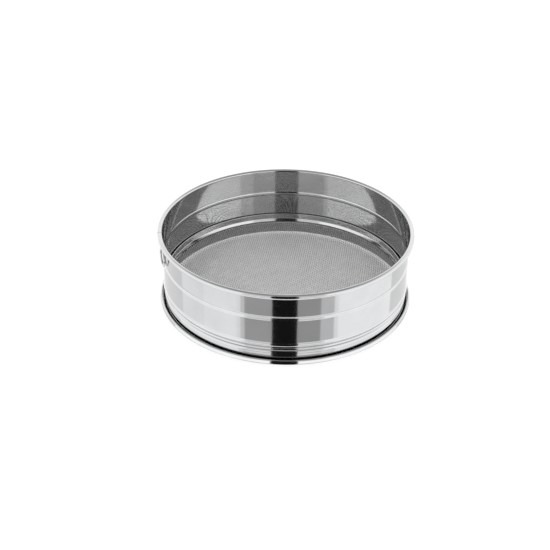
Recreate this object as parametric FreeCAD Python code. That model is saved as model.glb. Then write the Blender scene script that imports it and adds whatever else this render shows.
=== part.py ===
"""Stainless steel soil sieve: a beaded drum, a lift-out screen and a hanging ring.

The drum is one bent strip of sheet, rolled round and welded at one seam. Its top edge is rolled
over a core wire and its bottom edge is pressed into an open hem with a second wire in it. A shallow
groove parts its two bands. A deep groove near the bottom stands inwards as a ledge, and the screen
rests on it: woven wire cloth held between a stepped ring below and a folded ring above. A strap
under the top roll holds a loose ring to hang the sieve by.

Millimetres, +Z up. The origin is the centre of the circle that the sieve stands on.
"""

import FreeCAD, Part
import math
import os

from FreeCAD import Vector

# ---------------------------------------------------------------- drum
SHEET = 0.6                # sheet of the drum
WALL_R = 145.2             # outside of the plain wall
HEIGHT = 92.0              # floor to the top of the rolled rim
RIM_ROLL_R = 3.1           # outside of the rolled top rim's own section
RIM_ROLL_TURN = 310.0      # how far round the roll goes, degrees
CORE_PLAY = 0.1            # between a rolled edge and the wire inside it

GROOVE_DROP = 33.2         # from the top of the rim to the groove between the two bands
GROOVE_DEPTH = 1.0
GROOVE_R = 3.0             # bottom of the groove, on the sheet's centre line
GROOVE_FILLET_R = 2.0
LOWER_BEAD_HEIGHT = 1.1    # bead above the ledge
LOWER_BEAD_FILLET_R = 1.8
LOWER_BEAD_FLANK = 38.0    # lean of its sides, degrees
LEDGE_Z = 17.98            # deep groove that stands inwards and carries the screen
LEDGE_DEPTH = 2.2
LEDGE_R = 2.4              # bottom of the ledge's groove, on the sheet's centre line
LEDGE_FILLET_R = 3.0

FLARE_ANGLE = 5.0          # lean of the skirt under the ledge
FLARE_BEND_R = 3.0
FLARE_HEIGHT = 3.0         # slanted length of the skirt

HEM_REACH = 5.2            # from the plain wall out to the widest circle of the hem
HEM_HEIGHT = 6.5           # top of the hem above the floor
HEM_CORNER_R = 2.0         # bottom corners, on the sheet's centre line
HEM_LEAN = 10.0            # inward lean of the hem's outer side, degrees
HEM_LIP_R = 0.9            # lip over the hem's top, on the sheet's centre line
HEM_LIP_TURN = 110.0
HEM_WIRE_DIA = 2.4         # wire that lies in the hem

SEAM_AZIMUTH = 187.5       # where the strip's two ends meet, degrees from +X
SEAM_GAP = 0.5
SEAM_RELIEF = 0.12         # how far the weld lies under each face of the sheet

# ---------------------------------------------------------------- screen
SCREEN_SHEET = 0.5         # sheet of the screen's two rings
SCREEN_PLAY = 0.3          # radial room between the screen's rings and the drum's upper groove
REST_GAP = 0.5             # screen's flange above the ledge
WIRE_DIA = 0.6             # wire of the cloth
WIRE_PITCH = 2.6           # 2.0 mm holes
WIRE_LEVEL_GAP = 0.02      # between the two layers of wire
CLOTH_TURN = -7.0          # lay of the cloth in its rings, degrees
CLOTH_PINCH = 0.02         # between the cloth and each ring
CLOTH_EDGE = 1.7           # cloth that the rings cover, measured from their inner edge
UPPER_RING_WIDTH = 3.9     # from the screen's edge in to the upper ring's foot, on its centre line
FLANGE_WIDTH = 1.65        # resting flange of the lower ring
STEP_DOWN = 1.8            # from the resting flange down to the seat of the cloth
SEAT_WIDTH = 2.6           # seat of the cloth on the lower ring
STEP_BEND_INSIDE_R = 0.1
LEG_LEAN = 26.0            # outward lean of the upper ring's inner leg at the cloth
LEG_TURN = 6.0             # how far that leg curves further outwards
LEG_CURVE_R = 32.0
CREST_INSIDE_R = 0.1       # small beads on the upper ring's shoulder
VALLEY_INSIDE_R = 0.05
SHOULDER_SLOPE = 82.0

# ---------------------------------------------------------------- hanging ring
HANGER_AZIMUTH = 196.5
STRAP_SHEET = 0.8
STRAP_WIDTH = 6.0
STRAP_LENGTH = 17.25       # from the middle of its eye down to its end
STRAP_STANDOFF = 0.03      # between the strap and the wall
RING_WIRE_DIA = 2.5
RING_MEAN_R = 10.75
EYE_PLAY = 0.4             # between the ring's wire and the strap's eye
EYE_MOUTH_CHAMFER = 0.2
EYE_BELOW_ROLL = 0.35      # between the eye and the rolled rim above it
PLUG_WELD_DIA = 3.2
PLUG_WELD_PROUD = 0.2
PLUG_WELD_INSET = 3.4      # lower weld above the strap's bottom end
PLUG_WELD_SPACING = 5.2

CUT_OVERRUN = 1.0          # how far a cutting solid passes the faces that it cuts
SAME_PLACE = 1e-6          # lengths closer than this are the same

# ---------------------------------------------------------------- worked out
WALL_MID_R = WALL_R - SHEET / 2
WALL_INNER_R = WALL_R - SHEET
HEM_OUTER_R = WALL_R + HEM_REACH
RIM_MID_ROLL_R = RIM_ROLL_R - SHEET / 2
RIM_CENTRE_R = WALL_INNER_R + RIM_ROLL_R
RIM_CENTRE_Z = HEIGHT - RIM_ROLL_R
RIM_CORE_R = RIM_ROLL_R - SHEET - CORE_PLAY

UP, DOWN, INWARD = 90.0, -90.0, 180.0


def heading_vector(degrees):
    """Unit vector in the section plane, where X is the radius and Z the height."""
    return Vector(math.cos(math.radians(degrees)), 0, math.sin(math.radians(degrees)))


def walk(start, heading, steps):
    """Follows straight and curved steps. Returns [(kind, places, headings at those places)].

    A step is ("line", length) or ("arc", radius, turn), where a positive turn is to the left.
    """
    point, legs = Vector(start), []
    for step in steps:
        if step[0] == "line":
            end = point + heading_vector(heading) * step[1]
            legs.append(("line", (point, end), (heading, heading)))
        else:
            radius, turn = step[1], step[2]
            side = math.copysign(90.0, turn)
            centre = point + heading_vector(heading + side) * radius
            headings = [heading, heading + turn / 2, heading + turn]
            places = [centre + heading_vector(turned - side) * radius for turned in headings]
            legs.append(("arc", places, headings))
            end, heading = places[-1], headings[-1]
        point = end
    return legs


def end_of(start, heading, steps):
    """Where a walk ends: (point, heading)."""
    last = walk(start, heading, steps)[-1]
    return last[1][-1], last[2][-1]


def side_edges(legs, shift):
    """The walk's edges moved to its left by shift."""
    edges = []
    for kind, places, headings in legs:
        moved = [p + heading_vector(h + 90) * shift for p, h in zip(places, headings)]
        curve = Part.LineSegment(*moved) if kind == "line" else Part.Arc(*moved)
        edges.append(curve.toShape())
    return edges


def sheet_face(start, heading, steps, thickness):
    """Section of a bent sheet whose centre line is the walk."""
    legs = walk(start, heading, steps)
    left, right = side_edges(legs, thickness / 2), side_edges(legs, -thickness / 2)
    caps = []
    for place, turned in ((legs[0][1][0], legs[0][2][0]), (legs[-1][1][-1], legs[-1][2][-1])):
        across = heading_vector(turned + 90) * (thickness / 2)
        caps.append(Part.LineSegment(place + across, place - across).toShape())
    return Part.Face(Part.Wire(Part.__sortEdges__(left + right + caps)))


def revolved(face, from_azimuth=0.0, sweep=360.0):
    """Turns a section about the sieve's axis, from one azimuth through a sweep, both in degrees."""
    solid = face.revolve(Vector(0, 0, 0), Vector(0, 0, 1), sweep)
    solid.rotate(Vector(0, 0, 0), Vector(0, 0, 1), from_azimuth)
    return solid


def rise_of(radius, turn):
    """How far a bend of that turn carries a sheet sideways from where it was heading."""
    return radius * (1 - math.cos(math.radians(turn)))


def run_of(radius, turn):
    """How far a bend of that turn carries a sheet along where it was heading."""
    return radius * math.sin(math.radians(turn))


# ---------------------------------------------------------------- the drum's strip
GROOVE_FLANK = math.degrees(math.acos(1 - GROOVE_DEPTH / (GROOVE_FILLET_R + GROOVE_R)))
GROOVE_HALF = run_of(GROOVE_FILLET_R + GROOVE_R, GROOVE_FLANK)
GROOVE_Z = HEIGHT - GROOVE_DROP

LOWER_BEAD_BENDS_R = LOWER_BEAD_HEIGHT / rise_of(1, LOWER_BEAD_FLANK)
LOWER_BEAD_CREST_R = LOWER_BEAD_BENDS_R - LOWER_BEAD_FILLET_R
LOWER_BEAD_BENDS = rise_of(LOWER_BEAD_CREST_R + LEDGE_R, LOWER_BEAD_FLANK)
FLANK_RUN = LOWER_BEAD_HEIGHT + LEDGE_DEPTH - LOWER_BEAD_BENDS
FLANK_LENGTH = FLANK_RUN / math.sin(math.radians(LOWER_BEAD_FLANK))
LOWER_BEAD_Z = (
    LEDGE_Z
    + run_of(LOWER_BEAD_CREST_R + LEDGE_R, LOWER_BEAD_FLANK)
    + FLANK_LENGTH * math.cos(math.radians(LOWER_BEAD_FLANK))
)
LOWER_BEAD_TOP_Z = LOWER_BEAD_Z + run_of(LOWER_BEAD_BENDS_R, LOWER_BEAD_FLANK)
LEDGE_FLANK = math.degrees(math.acos(1 - LEDGE_DEPTH / (LEDGE_R + LEDGE_FILLET_R)))


def upper_wall_steps():
    """From the rolled rim down to the foot of the ledge."""
    return [
        ("line", RIM_CENTRE_Z - GROOVE_Z - GROOVE_HALF),
        ("arc", GROOVE_FILLET_R, -GROOVE_FLANK),
        ("arc", GROOVE_R, 2 * GROOVE_FLANK),
        ("arc", GROOVE_FILLET_R, -GROOVE_FLANK),
        ("line", GROOVE_Z - GROOVE_HALF - LOWER_BEAD_TOP_Z),
        ("arc", LOWER_BEAD_FILLET_R, LOWER_BEAD_FLANK),
        ("arc", LOWER_BEAD_CREST_R, -2 * LOWER_BEAD_FLANK),
        ("line", FLANK_LENGTH),
        ("arc", LEDGE_R, LOWER_BEAD_FLANK + LEDGE_FLANK),
        ("arc", LEDGE_FILLET_R, -LEDGE_FLANK),
    ]


def skirt_steps():
    """The flared skirt, turned back upright at its foot."""
    return [
        ("arc", FLARE_BEND_R, FLARE_ANGLE),
        ("line", FLARE_HEIGHT),
        ("arc", FLARE_BEND_R, -FLARE_ANGLE),
    ]


def hem_steps(foot):
    """The hem from the foot of the skirt: down, under, up the outside and over."""
    across = (HEM_OUTER_R - SHEET / 2) - foot.x
    bends = HEM_CORNER_R + HEM_LIP_R + run_of(HEM_CORNER_R - HEM_LIP_R, HEM_LEAN)
    side = (HEM_HEIGHT - SHEET - bends) / math.cos(math.radians(HEM_LEAN))
    return [
        ("line", foot.z - SHEET / 2 - HEM_CORNER_R),
        ("arc", HEM_CORNER_R, UP),
        ("line", across - 2 * HEM_CORNER_R),
        ("arc", HEM_CORNER_R, UP + HEM_LEAN),
        ("line", side),
        ("arc", HEM_LIP_R, HEM_LIP_TURN),
    ]


WALL_TOP = Vector(WALL_MID_R, 0, RIM_CENTRE_Z)
WALL_STEPS = upper_wall_steps() + skirt_steps()
HEM_FOOT = end_of(WALL_TOP, DOWN, WALL_STEPS)[0]


def drum_shell():
    """The whole strip, from the end inside the top roll to the lip of the hem."""
    roll_end, roll_heading = end_of(WALL_TOP, UP, [("arc", RIM_MID_ROLL_R, -RIM_ROLL_TURN)])
    steps = [("arc", RIM_MID_ROLL_R, RIM_ROLL_TURN)] + WALL_STEPS + hem_steps(HEM_FOOT)
    face = sheet_face(roll_end, roll_heading + 180, steps, SHEET)
    half_gap = math.degrees(SEAM_GAP / 2 / WALL_R)
    return revolved(face, SEAM_AZIMUTH + half_gap, 360 - 2 * half_gap)


def seam_weld():
    """Weld that fills the gap between the strip's ends, a little under both faces of the sheet."""
    face = sheet_face(WALL_TOP, DOWN, WALL_STEPS, SHEET - 2 * SEAM_RELIEF)
    half_gap = math.degrees(SEAM_GAP / 2 / WALL_R)
    return revolved(face, SEAM_AZIMUTH - half_gap, 2 * half_gap)


def rim_core_wire():
    """Wire inside the rolled top rim."""
    return Part.makeTorus(RIM_CENTRE_R, RIM_CORE_R, Vector(0, 0, RIM_CENTRE_Z), Vector(0, 0, 1))


def hem_core_wire():
    """Wire lying in the bottom of the hem."""
    middle_r = (HEM_FOOT.x + HEM_OUTER_R - SHEET / 2) / 2
    centre = Vector(0, 0, SHEET + CORE_PLAY + HEM_WIRE_DIA / 2)
    return Part.makeTorus(middle_r, HEM_WIRE_DIA / 2, centre, Vector(0, 0, 1))


# ---------------------------------------------------------------- the screen
def ledge_height_at(radius):
    """Height of the ledge's upper inner face at a radius, on its bend or on the flank above it."""
    face_r = LEDGE_R + SHEET / 2
    centre_r = WALL_MID_R - LEDGE_DEPTH + LEDGE_R
    flank_r = centre_r - face_r * math.cos(math.radians(LOWER_BEAD_FLANK))
    if radius < flank_r:
        return LEDGE_Z + math.sqrt(face_r ** 2 - (centre_r - radius) ** 2)
    rise = (radius - flank_r) / math.tan(math.radians(LOWER_BEAD_FLANK))
    return LEDGE_Z + face_r * math.sin(math.radians(LOWER_BEAD_FLANK)) + rise


SCREEN_OUTER_R = WALL_INNER_R - GROOVE_DEPTH - SCREEN_PLAY
UPPER_RING_FOOT_R = SCREEN_OUTER_R - UPPER_RING_WIDTH
CLOTH_R = UPPER_RING_FOOT_R + CLOTH_EDGE
FLANGE_Z = ledge_height_at(SCREEN_OUTER_R) + REST_GAP + SCREEN_SHEET / 2
SEAT_Z = FLANGE_Z - STEP_DOWN
CLOTH_BOTTOM_Z = SEAT_Z + SCREEN_SHEET / 2 + CLOTH_PINCH
CLOTH_TOP_Z = CLOTH_BOTTOM_Z + 2 * WIRE_DIA + WIRE_LEVEL_GAP
LEG_FOOT_Z = CLOTH_TOP_Z + CLOTH_PINCH
STEP_BEND_R = STEP_BEND_INSIDE_R + SCREEN_SHEET / 2
CREST_R = CREST_INSIDE_R + SCREEN_SHEET / 2
VALLEY_R = VALLEY_INSIDE_R + SCREEN_SHEET / 2


def lower_screen_ring():
    """Stepped ring: a flange that rests on the ledge, a riser, and the seat of the cloth."""
    steps = [
        ("line", FLANGE_WIDTH - STEP_BEND_R),
        ("arc", STEP_BEND_R, 90.0),
        ("line", STEP_DOWN - 2 * STEP_BEND_R),
        ("arc", STEP_BEND_R, -90.0),
        ("line", SEAT_WIDTH - STEP_BEND_R),
    ]
    return revolved(sheet_face(Vector(SCREEN_OUTER_R, 0, FLANGE_Z), INWARD, steps, SCREEN_SHEET))


def upper_screen_ring():
    """Folded ring: an inner leg on the cloth, a beaded shoulder and an outer leg on the flange."""
    lift = SCREEN_SHEET / 2 * math.sin(math.radians(LEG_LEAN))
    foot, foot_heading = Vector(UPPER_RING_FOOT_R, 0, LEG_FOOT_Z + lift), UP - LEG_LEAN
    leg = [("arc", LEG_CURVE_R, -LEG_TURN)]
    leg_top, leg_heading = end_of(foot, foot_heading, leg)
    bends = (
        run_of(CREST_R, leg_heading)
        + run_of(VALLEY_R + CREST_R, SHOULDER_SLOPE)
        + CREST_R
    )
    outer_leg_r = SCREEN_OUTER_R - SCREEN_SHEET / 2
    slope = (outer_leg_r - leg_top.x - bends) / math.cos(math.radians(SHOULDER_SLOPE))
    shoulder = [
        ("arc", CREST_R, -leg_heading),
        ("arc", VALLEY_R, SHOULDER_SLOPE),
        ("line", slope),
        ("arc", CREST_R, DOWN - SHOULDER_SLOPE),
    ]
    drop_from = end_of(foot, foot_heading, leg + shoulder)[0].z
    outer_leg = [("line", drop_from - (FLANGE_Z + SCREEN_SHEET / 2))]
    return revolved(sheet_face(foot, foot_heading, leg + shoulder + outer_leg, SCREEN_SHEET))


def cloth_wires(centre_z, direction):
    """One layer of the cloth: parallel wires at the cloth's pitch, cut to a circle."""
    along = Vector(math.cos(math.radians(direction)), math.sin(math.radians(direction)), 0)
    across = Vector(-along.y, along.x, 0)
    reach = int((CLOTH_R - WIRE_DIA) / WIRE_PITCH)
    wires = []
    for place in range(-reach, reach + 1):
        offset = place * WIRE_PITCH
        half = math.sqrt(CLOTH_R ** 2 - offset ** 2)
        start = across * offset - along * half + Vector(0, 0, centre_z)
        wires.append(Part.makeCylinder(WIRE_DIA / 2, 2 * half, start, along))
    return Part.makeCompound(wires)


# ---------------------------------------------------------------- the hanging ring
EYE_INNER_R = RING_WIRE_DIA / 2 + EYE_PLAY
EYE_OUTER_R = EYE_INNER_R + STRAP_SHEET
EYE_X = WALL_R + STRAP_STANDOFF + EYE_OUTER_R
EYE_Z = HEIGHT - 2 * RIM_ROLL_R - EYE_BELOW_ROLL - EYE_OUTER_R
STRAP_BOTTOM_Z = EYE_Z - STRAP_LENGTH
LOWER_WELD_Z = STRAP_BOTTOM_Z + PLUG_WELD_INSET
WELD_ZS = (LOWER_WELD_Z, LOWER_WELD_Z + PLUG_WELD_SPACING)


def at_hanger(shape):
    """Turns a shape made on the +X side to the hanger's azimuth."""
    shape.rotate(Vector(0, 0, 0), Vector(0, 0, 1), HANGER_AZIMUTH)
    return shape


def weld_plug(radius, from_x, to_x, height):
    """Cylinder along X at a plug weld's place."""
    return Part.makeCylinder(radius, to_x - from_x, Vector(from_x, 0, height), Vector(1, 0, 0))


def hanger_strap():
    """Strap with a rolled eye at its top, a round bottom end and two holes for its welds."""
    back_x = WALL_R + STRAP_STANDOFF
    eye = Part.makeCylinder(EYE_OUTER_R, STRAP_WIDTH, Vector(EYE_X, -STRAP_WIDTH / 2, EYE_Z), Vector(0, 1, 0))
    leaf_bottom = STRAP_BOTTOM_Z + STRAP_WIDTH / 2
    leaf = Part.makeBox(
        STRAP_SHEET, STRAP_WIDTH, EYE_Z - leaf_bottom, Vector(back_x, -STRAP_WIDTH / 2, leaf_bottom)
    )
    end = Part.makeCylinder(STRAP_WIDTH / 2, STRAP_SHEET, Vector(back_x, 0, leaf_bottom), Vector(1, 0, 0))
    bore_length = STRAP_WIDTH + 2 * CUT_OVERRUN
    bore_start = Vector(EYE_X, -bore_length / 2, EYE_Z)
    bore = Part.makeCylinder(EYE_INNER_R, bore_length, bore_start, Vector(0, 1, 0))
    strap = eye.fuse([leaf, end]).removeSplitter().cut(bore)
    hole_end = back_x + STRAP_SHEET + CUT_OVERRUN
    for height in WELD_ZS:
        strap = strap.cut(weld_plug(PLUG_WELD_DIA / 2, back_x - CUT_OVERRUN, hole_end, height))
    mouths = [
        edge
        for edge in strap.Edges
        if isinstance(edge.Curve, Part.Circle) and abs(edge.Curve.Radius - EYE_INNER_R) < SAME_PLACE
    ]
    strap = strap.makeChamfer(EYE_MOUTH_CHAMFER, mouths)
    return at_hanger(strap)


def plug_welds():
    """Two plugs of weld in the strap's holes, down on the wall and slightly crowned."""
    top_x = WALL_R + STRAP_STANDOFF + STRAP_SHEET + PLUG_WELD_PROUD
    wall = Part.makeCylinder(WALL_R, HEIGHT)
    plugs = []
    for height in WELD_ZS:
        plug = weld_plug(PLUG_WELD_DIA / 2, WALL_R - CUT_OVERRUN, top_x, height)
        crown = [edge for edge in plug.Edges if abs(edge.BoundBox.XMin - top_x) < SAME_PLACE]
        plugs.append(plug.makeChamfer(PLUG_WELD_PROUD, crown).cut(wall))
    return at_hanger(Part.makeCompound(plugs))


def hanging_ring():
    """Loose wire ring through the strap's eye, hanging straight down."""
    half = STRAP_WIDTH / 2
    sag = RING_MEAN_R - math.sqrt(RING_MEAN_R ** 2 - half ** 2)
    centre = Vector(EYE_X, 0, EYE_Z + sag / 2 - RING_MEAN_R)
    return at_hanger(Part.makeTorus(RING_MEAN_R, RING_WIRE_DIA / 2, centre, Vector(1, 0, 0)))


NODES = {
    "drum_shell": drum_shell,
    "drum_seam_weld": seam_weld,
    "rim_core_wire": rim_core_wire,
    "hem_core_wire": hem_core_wire,
    "screen_lower_ring": lower_screen_ring,
    "screen_upper_ring": upper_screen_ring,
    "screen_weft_wires": lambda: cloth_wires(CLOTH_BOTTOM_Z + WIRE_DIA / 2, CLOTH_TURN),
    "screen_warp_wires": lambda: cloth_wires(CLOTH_TOP_Z - WIRE_DIA / 2, CLOTH_TURN + 90),
    "hanger_strap": hanger_strap,
    "hanger_plug_welds": plug_welds,
    "hanging_ring": hanging_ring,
}


def main():
    """Makes every node, writes its STEP file and reports it."""
    os.makedirs("parts", exist_ok=True)
    for name, make in NODES.items():
        shape = make()
        shape.exportStep("parts/" + name + ".step")
        print(name, "solids", len(shape.Solids), "valid", shape.isValid(), "volume", round(shape.Volume, 1))
    print("screen flange", round(FLANGE_Z, 3), "cloth", round(CLOTH_BOTTOM_Z, 3), round(CLOTH_TOP_Z, 3))
    print("eye", round(EYE_X, 3), round(EYE_Z, 3), "hem foot", round(HEM_FOOT.x, 3), round(HEM_FOOT.z, 3))
    print("groove", round(GROOVE_Z, 3), "lower bead", round(LOWER_BEAD_Z, 3))


main()
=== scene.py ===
"""Looks of the stainless steel soil sieve: polished drum, lift-out woven screen, hanging ring.

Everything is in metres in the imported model's frame: +Z up, with the origin at the centre of the
circle that the sieve stands on. Sizes of sheet, wire and bends are written in millimetres, as a
sheet metal worker writes them, and are turned into metres where the meshes are made. Azimuths
count anticlockwise from +X, in degrees.
"""

import logging
import math
from collections.abc import Callable, Sequence
from dataclasses import dataclass
from enum import Enum

import bpy
from mathutils import Matrix, Quaternion, Vector

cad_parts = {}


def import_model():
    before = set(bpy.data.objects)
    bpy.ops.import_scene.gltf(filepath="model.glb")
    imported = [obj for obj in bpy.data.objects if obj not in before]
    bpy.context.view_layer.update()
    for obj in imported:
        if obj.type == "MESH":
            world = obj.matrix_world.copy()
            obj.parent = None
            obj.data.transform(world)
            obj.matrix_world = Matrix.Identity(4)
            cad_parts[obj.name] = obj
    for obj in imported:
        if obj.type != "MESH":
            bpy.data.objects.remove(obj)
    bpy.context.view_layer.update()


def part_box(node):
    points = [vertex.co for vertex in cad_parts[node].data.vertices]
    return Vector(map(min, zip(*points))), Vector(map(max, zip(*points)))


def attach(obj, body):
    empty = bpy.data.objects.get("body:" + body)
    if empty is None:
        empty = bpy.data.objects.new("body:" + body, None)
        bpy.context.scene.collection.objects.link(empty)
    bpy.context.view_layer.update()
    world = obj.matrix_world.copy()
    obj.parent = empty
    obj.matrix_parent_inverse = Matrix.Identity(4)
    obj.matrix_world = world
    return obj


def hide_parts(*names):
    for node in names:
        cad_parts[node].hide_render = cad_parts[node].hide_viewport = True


Socket = bpy.types.NodeSocket
Triple = tuple[float, float, float]

MM = 0.001
UP, DOWN, INWARD = 90.0, -90.0, 180.0
FULL_TURN, HALF_TURN, QUARTER_TURN = 360.0, 180.0, 90.0
ORIGIN = Vector((0, 0, 0))
ACROSS, UPRIGHT = Vector((1, 0, 0)), Vector((0, 0, 1))
FACE_FRONT = Quaternion(ACROSS, math.radians(QUARTER_TURN))
FACE_ACROSS = Quaternion((1, 1, 1), math.radians(FULL_TURN / 3))
MERGE_DISTANCE = 1e-6
SMOOTH_UP_TO = 40.0
HOOP_WIRE_SIDES = 16
EVEN = (1.0, 1.0, 1.0)
NOISE_LOW, NOISE_HIGH = 0.3, 0.7
LOG = logging.getLogger("soil_sieve")


class Body(Enum):
    """The parts of the sieve that move on their own."""

    DRUM = "drum"
    SCREEN = "screen"
    RING = "ring"


class Layer(Enum):
    """The two layers of the woven cloth."""

    WEFT = "weft"
    WARP = "warp"


class Slot(Enum):
    """The record's material slots."""

    DRUM = "drum_steel"
    SCREEN_RING = "screen_ring_steel"
    CLOTH = "cloth_wire_steel"
    CORE = "core_wire_steel"
    HANGER = "hanger_steel"
    WELD = "weld_steel"


# ------------------------------------------------------------------------------ finishes
class Recipe:
    """A material's node tree, filled in one node at a time."""

    def __init__(self, name: str) -> None:
        """Starts an empty tree with its output.

        Args:
            name: the material's name.
        """
        self.material = bpy.data.materials.new(name)
        self.material.use_nodes = True
        self.tree = self.material.node_tree
        self.tree.nodes.clear()
        self.output = self.tree.nodes.new("ShaderNodeOutputMaterial")

    def add(self, kind: str, links: dict[str, Socket] | None = None, **values: object) -> bpy.types.Node:
        """Adds a node.

        Args:
            kind: the node's type.
            links: the output to join to each named input.
            values: a value for each named input, with underscores for spaces.

        Returns:
            The new node.
        """
        node = self.tree.nodes.new(kind)
        for name, value in values.items():
            node.inputs[name.replace("_", " ")].default_value = value
        for name, source in (links or {}).items():
            self.tree.links.new(source, node.inputs[name])
        return node

    def noise(self, stretch: Triple, scale: float, detail: float) -> Socket:
        """Adds noise on the piece's own place.

        Args:
            stretch: how much finer the noise is along X, Y and Z.
            scale: grains per metre.
            detail: how many finer layers it has.

        Returns:
            The noise's height, from 0 to 1.
        """
        place = self.add("ShaderNodeTexCoord").outputs["Object"]
        mapped = self.add("ShaderNodeMapping", {"Vector": place}, Scale=stretch).outputs[0]
        return self.add("ShaderNodeTexNoise", {"Vector": mapped}, Scale=scale, Detail=detail).outputs[0]

    def spread(self, source: Socket, low: float, high: float) -> Socket:
        """Spreads a noise's middle range over low to high.

        Args:
            source: the noise.
            low: the value at the noise's low end.
            high: the value at its high end.

        Returns:
            The spread value.
        """
        ends = {"From_Min": NOISE_LOW, "From_Max": NOISE_HIGH, "To_Min": low, "To_Max": high}
        return self.add("ShaderNodeMapRange", {"Value": source}, **ends).outputs[0]

    def tint(self, source: Socket, dark: Triple, light: Triple) -> Socket:
        """Colours a noise from dark to light.

        Args:
            source: the noise.
            dark: colour at its low end.
            light: colour at its high end.

        Returns:
            The colour.
        """
        node = self.add("ShaderNodeValToRGB", {"Fac": source})
        ends = ((NOISE_LOW, dark), (NOISE_HIGH, light))
        for element, (place, colour) in zip(node.color_ramp.elements, ends):
            element.position = place
            element.color = (*colour, 1.0)
        return node.outputs[0]

    def bump(self, height: Socket, depth: float, under: Socket | None = None) -> Socket:
        """Raises a surface by a height.

        Args:
            height: the height, from 0 to 1.
            depth: metres at a height of 1.
            under: the bump that this one lies on.

        Returns:
            The bumped normal.
        """
        links = {"Height": height}
        if under is not None:
            links["Normal"] = under
        return self.add("ShaderNodeBump", links, Strength=1.0, Distance=depth).outputs[0]

    def close(self, shader: bpy.types.Node) -> bpy.types.Material:
        """Joins the shader to the output and gives the material."""
        self.tree.links.new(shader.outputs[0], self.output.inputs["Surface"])
        return self.material

    def close_as_metal(self, colour: Socket, roughness: Socket, normal: Socket) -> bpy.types.Material:
        """Finishes the tree as bare metal.

        Args:
            colour: the metal's colour.
            roughness: its roughness.
            normal: its bumped normal.

        Returns:
            The material.
        """
        links = {"Base Color": colour, "Roughness": roughness, "Normal": normal}
        return self.close(self.add("ShaderNodeBsdfPrincipled", links, Metallic=1.0))


@dataclass(frozen=True)
class RolledSheet:
    """Mirror-polished sheet, with rolling lines round the sieve and a slight ripple."""

    name: str
    dark: Triple = (0.583, 0.586, 0.594)
    light: Triple = (0.622, 0.625, 0.633)
    smoothest: float = 0.045
    roughest: float = 0.11
    line_stretch: Triple = (1.0, 1.0, 45.0)
    lines_per_metre: float = 60.0
    line_detail: float = 4.0
    line_depth: float = 0.0000006
    clouds_per_metre: float = 38.0
    cloud_detail: float = 3.0
    ripple_stretch: Triple = (1.0, 1.0, 0.45)
    ripples_per_metre: float = 26.0
    ripple_depth: float = 0.00002

    def material(self) -> bpy.types.Material:
        """Makes the sheet's material.

        Returns:
            The material.
        """
        recipe = Recipe(self.name)
        lines = recipe.noise(self.line_stretch, self.lines_per_metre, self.line_detail)
        clouds = recipe.noise(EVEN, self.clouds_per_metre, self.cloud_detail)
        ripple = recipe.noise(self.ripple_stretch, self.ripples_per_metre, 0.0)
        bumped = recipe.bump(lines, self.line_depth, recipe.bump(ripple, self.ripple_depth))
        colour = recipe.tint(clouds, self.dark, self.light)
        return recipe.close_as_metal(colour, recipe.spread(lines, self.smoothest, self.roughest), bumped)


@dataclass(frozen=True)
class DrawnWire:
    """Bright drawn wire, with faint die marks and a little grime."""

    name: str
    dark: Triple = (0.50, 0.50, 0.495)
    light: Triple = (0.62, 0.62, 0.615)
    smoothest: float = 0.2
    roughest: float = 0.36
    marks_per_metre: float = 2600.0
    mark_detail: float = 3.0
    mark_depth: float = 0.000004
    grime_per_metre: float = 55.0
    grime_detail: float = 4.0

    def material(self) -> bpy.types.Material:
        """Makes the wire's material.

        Returns:
            The material.
        """
        recipe = Recipe(self.name)
        marks = recipe.noise(EVEN, self.marks_per_metre, self.mark_detail)
        grime = recipe.noise(EVEN, self.grime_per_metre, self.grime_detail)
        colour = recipe.tint(grime, self.dark, self.light)
        roughness = recipe.spread(marks, self.smoothest, self.roughest)
        return recipe.close_as_metal(colour, roughness, recipe.bump(marks, self.mark_depth))


@dataclass(frozen=True)
class GroundWeld:
    """Weld metal ground flush, with grinding scratches and heat tint."""

    name: str
    dark: Triple = (0.30, 0.27, 0.24)
    light: Triple = (0.52, 0.50, 0.48)
    smoothest: float = 0.25
    roughest: float = 0.5
    scratch_stretch: Triple = (1.0, 1.0, 6.0)
    scratches_per_metre: float = 900.0
    scratch_detail: float = 3.0
    scratch_depth: float = 0.00003
    heat_per_metre: float = 420.0
    heat_detail: float = 2.0

    def material(self) -> bpy.types.Material:
        """Makes the weld's material.

        Returns:
            The material.
        """
        recipe = Recipe(self.name)
        scratches = recipe.noise(self.scratch_stretch, self.scratches_per_metre, self.scratch_detail)
        heat = recipe.noise(EVEN, self.heat_per_metre, self.heat_detail)
        colour = recipe.tint(heat, self.dark, self.light)
        roughness = recipe.spread(scratches, self.smoothest, self.roughest)
        return recipe.close_as_metal(colour, roughness, recipe.bump(scratches, self.scratch_depth))


# ------------------------------------------------------------------------------ bent sheet
@dataclass(frozen=True)
class Line:
    """A straight run of a section, in millimetres."""

    length: float


@dataclass(frozen=True)
class Arc:
    """A bend of a section. A positive turn is to the left of the way it runs."""

    radius: float
    turn: float


def facing(degrees: float) -> Vector:
    """Unit vector in the section plane, X outwards from the axis and Z up."""
    return Vector((math.cos(math.radians(degrees)), 0.0, math.sin(math.radians(degrees))))


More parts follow.
